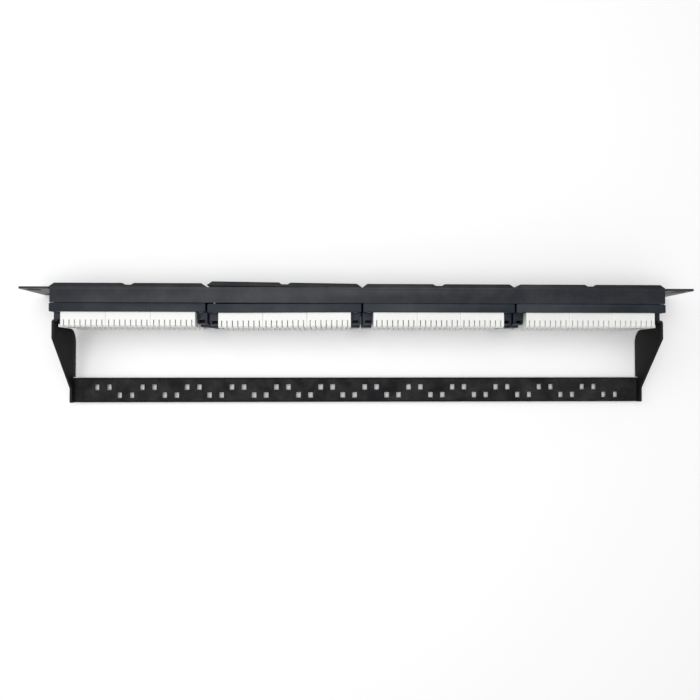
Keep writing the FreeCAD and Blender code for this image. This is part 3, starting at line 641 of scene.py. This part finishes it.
class PATCHPANEL_OT_covers(bpy.types.Operator):
    """Mould the four rear covers"""
    bl_idname = "patch_panel.covers"
    bl_label = "Rear covers"
    bl_options = {"REGISTER", "UNDO"}

    def execute(self, context):
        sizes = context.scene.patch_panel_sizes
        colours = context.scene.patch_panel_colours
        plastic = make_moulded("Satin black moulding", colours.cover, 0.36, 0.50, 1500.0, 0.00004)
        for module in MODULES:
            soften(f"rear_cover_{module}", f"moulded_cover_{module}", sizes.moulded_edge,
                   plastic)
        return {"FINISHED"}


class PATCHPANEL_OT_blocks(bpy.types.Operator):
    """Mould the white terminal blocks, with their edges eased"""
    bl_idname = "patch_panel.blocks"
    bl_label = "Terminal blocks"
    bl_options = {"REGISTER", "UNDO"}

    def execute(self, context):
        sizes = context.scene.patch_panel_sizes
        colours = context.scene.patch_panel_colours
        plastic = make_block_plastic(colours)
        for module in MODULES:
            for row in ("upper", "lower"):
                for column in range(1, BLOCKS + 1):
                    name = f"{module}_{row}_{column}"
                    soften(f"terminal_block_{name}", f"moulded_block_{name}", sizes.block_edge,
                           plastic)
        return {"FINISHED"}


class PATCHPANEL_OT_metalwork(bpy.types.Operator):
    """Finish the terminal blades, the spring wires and the screws"""
    bl_idname = "patch_panel.metalwork"
    bl_label = "Blades, wires and screws"
    bl_options = {"REGISTER", "UNDO"}

    def execute(self, context):
        colours = context.scene.patch_panel_colours
        repaint("terminal_blades", make_stamped_metal(
            "Stamped bronze", colours.blade, DULL_BRONZE, 0.32, (0.3, 6.0, 1.0)))
        repaint("jack_contacts", make_stamped_metal(
            "Gold plate", colours.contact, DULL_GOLD, 0.22, (6.0, 0.3, 1.0)))
        repaint("cover_screws", make_stamped_metal(
            "Zinc plate", colours.screw, DULL_ZINC, 0.34, (1.0, 1.0, 1.0)))
        return {"FINISHED"}


class PATCHPANEL_OT_boards(bpy.types.Operator):
    """Coat the circuit boards"""
    bl_idname = "patch_panel.boards"
    bl_label = "Circuit boards"
    bl_options = {"REGISTER", "UNDO"}

    def execute(self, context):
        colours = context.scene.patch_panel_colours
        repaint("circuit_board", make_solder_mask(colours))
        return {"FINISHED"}


class PATCHPANEL_OT_socket_numbers(bpy.types.Operator):
    """Print a number over each socket"""
    bl_idname = "patch_panel.socket_numbers"
    bl_label = "Socket numbers"
    bl_options = {"REGISTER", "UNDO"}

    def execute(self, context):
        sizes = context.scene.patch_panel_sizes
        colours = context.scene.patch_panel_colours
        strip = sum(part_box("label_strip_1"), Vector()) / 2
        proud = strip.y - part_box("port_housing_1")[0].y + sizes.ink / 2
        for module in MODULES:
            marks = Print(paper_face("label_strip", module, -1), -1, proud)
            for socket in range(SOCKETS):
                marks.text(str((module - 1) * SOCKETS + socket + 1),
                           (socket - (SOCKETS - 1) / 2) * sizes.socket_pitch,
                           sizes.number_up - strip.z, sizes.number_height, sizes.ink, colours.white_ink)
            marks.finish(f"socket_numbers_{module}", ink(), body_of(f"port_housing_{module}"), "label_paper")
        return {"FINISHED"}


class PATCHPANEL_OT_label_strips(bpy.types.Operator):
    """Print the paper strips and finish the clear covers over them"""
    bl_idname = "patch_panel.label_strips"
    bl_label = "Label strips and covers"
    bl_options = {"REGISTER", "UNDO"}

    def execute(self, context):
        sizes = context.scene.patch_panel_sizes
        colours = context.scene.patch_panel_colours
        repaint("label_strip", make_paper("Uncoated paper", colours.paper, 0.75, 0.9, 0.00002))
        repaint("label_cover", make_clear_plastic(colours))
        low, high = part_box("label_strip_1")
        field = sizes.socket_pitch - STRIP_FIELD_GAP
        tall = high.z - low.z - 2 * STRIP_MARGIN
        for module in MODULES:
            marks = Print(paper_face("label_strip", module, -1), -1,
                          (high.y - low.y + sizes.ink) / 2)
            for socket in range(SOCKETS):
                middle = (socket - (SOCKETS - 1) / 2) * sizes.socket_pitch
                for side in (-1, 1):
                    marks.bar(middle, side * tall / 2, field + STRIP_LINE, STRIP_LINE,
                              sizes.ink, colours.black_ink)
                    marks.bar(middle + side * field / 2, 0.0, STRIP_LINE, tall,
                              sizes.ink, colours.black_ink)
                marks.text(f"{(module - 1) * SOCKETS + socket + 1:02}",
                           middle - field / 2 + STRIP_NUMBER_IN, 0.0,
                           sizes.strip_number, sizes.ink, colours.black_ink)
                marks.bar(middle - field / 2 + STRIP_DIVIDER_IN, 0.0, STRIP_LINE, tall,
                          sizes.ink, colours.black_ink)
            marks.finish(f"strip_print_{module}", ink(), body_of(f"label_strip_{module}"), "label_paper")
        return {"FINISHED"}


class PATCHPANEL_OT_wiring_labels(bpy.types.Operator):
    """Print the colour code and the socket numbers on the labels between the rows of blocks"""
    bl_idname = "patch_panel.wiring_labels"
    bl_label = "Wiring labels"
    bl_options = {"REGISTER", "UNDO"}

    def execute(self, context):
        sizes = context.scene.patch_panel_sizes
        colours = context.scene.patch_panel_colours
        repaint("wiring_label", make_paper("Coated paper", colours.wiring_paper, 0.35, 0.5, 0.000006))
        low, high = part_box("wiring_label_1")
        narrower, shorter, thicker = WHITE_STRIPE
        edge = (high.z - low.z) / 2 - sizes.bar_height / 2 - COLOUR_BAR_MARGIN
        for module in MODULES:
            marks = Print(paper_face("wiring_label", module, 1), 1, (high.y - low.y + sizes.ink) / 2)
            for side in (-1, 1):
                for block in range(BLOCKS):
                    middle = (block - (BLOCKS - 1) / 2) * sizes.block_pitch
                    for slit in range(SLITS):
                        across = middle + (slit - (SLITS - 1) / 2) * sizes.slit_pitch
                        shade = getattr(colours, WIRE_PAIRS[slit // 2])
                        marks.bar(across, side * edge, sizes.bar_width, sizes.bar_height, sizes.ink, shade)
                        if slit % 2 == 0:
                            marks.bar(across, side * edge, sizes.bar_width * narrower,
                                      sizes.bar_height * shorter, sizes.ink * thicker,
                                      colours.wiring_paper)
                    socket = (BLOCKS - 1 - block) if side < 0 else BLOCKS + (BLOCKS - 1 - block)
                    marks.text(str((module - 1) * SOCKETS + socket + 1), middle,
                               side * WIRING_NUMBER_UP, sizes.wiring_number, sizes.ink,
                               colours.black_ink)
                    marks.bar(middle, side * WIRING_RULE_UP, sizes.slit_pitch * SLITS - 2 * MM,
                              WIRING_RULE, sizes.ink, colours.black_ink)
            marks.finish(f"wiring_print_{module}", ink(), body_of(f"wiring_label_{module}"), "wiring_paper")
        return {"FINISHED"}


class PATCHPANEL_OT_stage(bpy.types.Operator):
    """Set the floor, the lights and the camera"""
    bl_idname = "patch_panel.stage"
    bl_label = "Stage"
    bl_options = {"REGISTER", "UNDO"}

    def execute(self, context):
        scene = context.scene
        stage = scene.patch_panel_stage
        self.add_floor(scene, stage)
        self.add_sky(scene, stage)
        self.add_light(scene, "Overhead", OVERHEAD_AT, OVERHEAD_SIZE, stage.overhead)
        self.add_light(scene, "Left end", LEFT_END_AT, LEFT_END_SIZE, stage.side)
        self.add_camera(scene, stage)
        scene.view_settings.view_transform = "Standard"
        scene.view_settings.look = "None"
        return {"FINISHED"}

    def add_floor(self, scene, stage):
        shape = bmesh.new()
        bmesh.ops.create_grid(shape, x_segments=2, y_segments=2, size=stage.floor_size / 2,
                              matrix=Matrix.Translation((0.0, 0.0, CAD_BOX[0].z)))
        mesh = bpy.data.meshes.new("floor")
        shape.to_mesh(mesh)
        shape.free()
        mesh.materials.append(make_floor_paint(scene.patch_panel_colours.floor))
        floor = bpy.data.objects.new("floor", mesh)
        scene.collection.objects.link(floor)

    def add_sky(self, scene, stage):
        scene.world = bpy.data.worlds.new("Studio")
        scene.world.use_nodes = True
        backdrop = scene.world.node_tree.nodes["Background"]
        backdrop.inputs["Color"].default_value = (1.0, 1.0, 1.0, 1.0)
        backdrop.inputs["Strength"].default_value = stage.sky

    def add_light(self, scene, name, spot, size, power):
        """An area light that faces the middle of the part."""
        light = bpy.data.lights.new(name, "AREA")
        light.shape = "RECTANGLE"
        light.size, light.size_y = size
        light.energy = power
        lamp = bpy.data.objects.new(name, light)
        lamp.location = spot
        lamp.rotation_euler = (-Vector(spot)).to_track_quat("-Z", "Y").to_euler()
        scene.collection.objects.link(lamp)

    def add_camera(self, scene, stage):
        """Look straight down with +X to the left, then turn by the three small angles."""
        camera = bpy.data.cameras.new("Camera")
        camera.lens = stage.lens
        camera.sensor_width = SENSOR_WIDTH
        camera.clip_start = NEAREST_SEEN
        turn = (Matrix.Rotation(stage.roll, 3, "Z") @ Matrix.Rotation(stage.pitch, 3, "X")
                @ Matrix.Rotation(stage.yaw, 3, "Y"))
        right, down, forward = turn @ Matrix.Diagonal((-1.0, 1.0, -1.0))
        stand = Matrix((right, -down, -forward)).transposed().to_4x4()
        eye = bpy.data.objects.new("Camera", camera)
        eye.matrix_world = Matrix.Translation(Vector(stage.camera)) @ stand
        scene.collection.objects.link(eye)
        scene.camera = eye


STEPS = (PATCHPANEL_OT_steelwork, PATCHPANEL_OT_housings, PATCHPANEL_OT_covers, PATCHPANEL_OT_blocks,
         PATCHPANEL_OT_metalwork, PATCHPANEL_OT_boards, PATCHPANEL_OT_socket_numbers,
         PATCHPANEL_OT_label_strips, PATCHPANEL_OT_wiring_labels, PATCHPANEL_OT_stage)


class PATCHPANEL_PT_sidebar(bpy.types.Panel):
    """The patch panel's settings and steps"""
    bl_label = "Patch Panel"
    bl_idname = "PATCHPANEL_PT_sidebar"
    bl_space_type = "VIEW_3D"
    bl_region_type = "UI"
    bl_category = "Patch Panel"

    def draw(self, context):
        layout = self.layout
        scene = context.scene
        for step in STEPS:
            layout.operator(step.bl_idname, text=step.bl_label)
        for settings in (scene.patch_panel_sizes, scene.patch_panel_colours, scene.patch_panel_stage):
            box = layout.box()
            for name in settings.__annotations__:
                box.prop(settings, name)


SETTINGS = {"patch_panel_sizes": PatchPanelSizes, "patch_panel_colours": PatchPanelColours,
            "patch_panel_stage": PatchPanelStage}


def register():
    for kind in (*SETTINGS.values(), *STEPS, PATCHPANEL_PT_sidebar):
        bpy.utils.register_class(kind)
    for name, kind in SETTINGS.items():
        setattr(bpy.types.Scene, name, bpy.props.PointerProperty(type=kind))


def unregister():
    for name in SETTINGS:
        delattr(bpy.types.Scene, name)
    for kind in (PATCHPANEL_PT_sidebar, *reversed(STEPS), *reversed(SETTINGS.values())):
        bpy.utils.unregister_class(kind)


def main():
    register()
    for step in STEPS:
        group, name = step.bl_idname.split(".")
        getattr(getattr(bpy.ops, group), name)()
    bpy.context.view_layer.update()


if __name__ == "__main__":
    main()
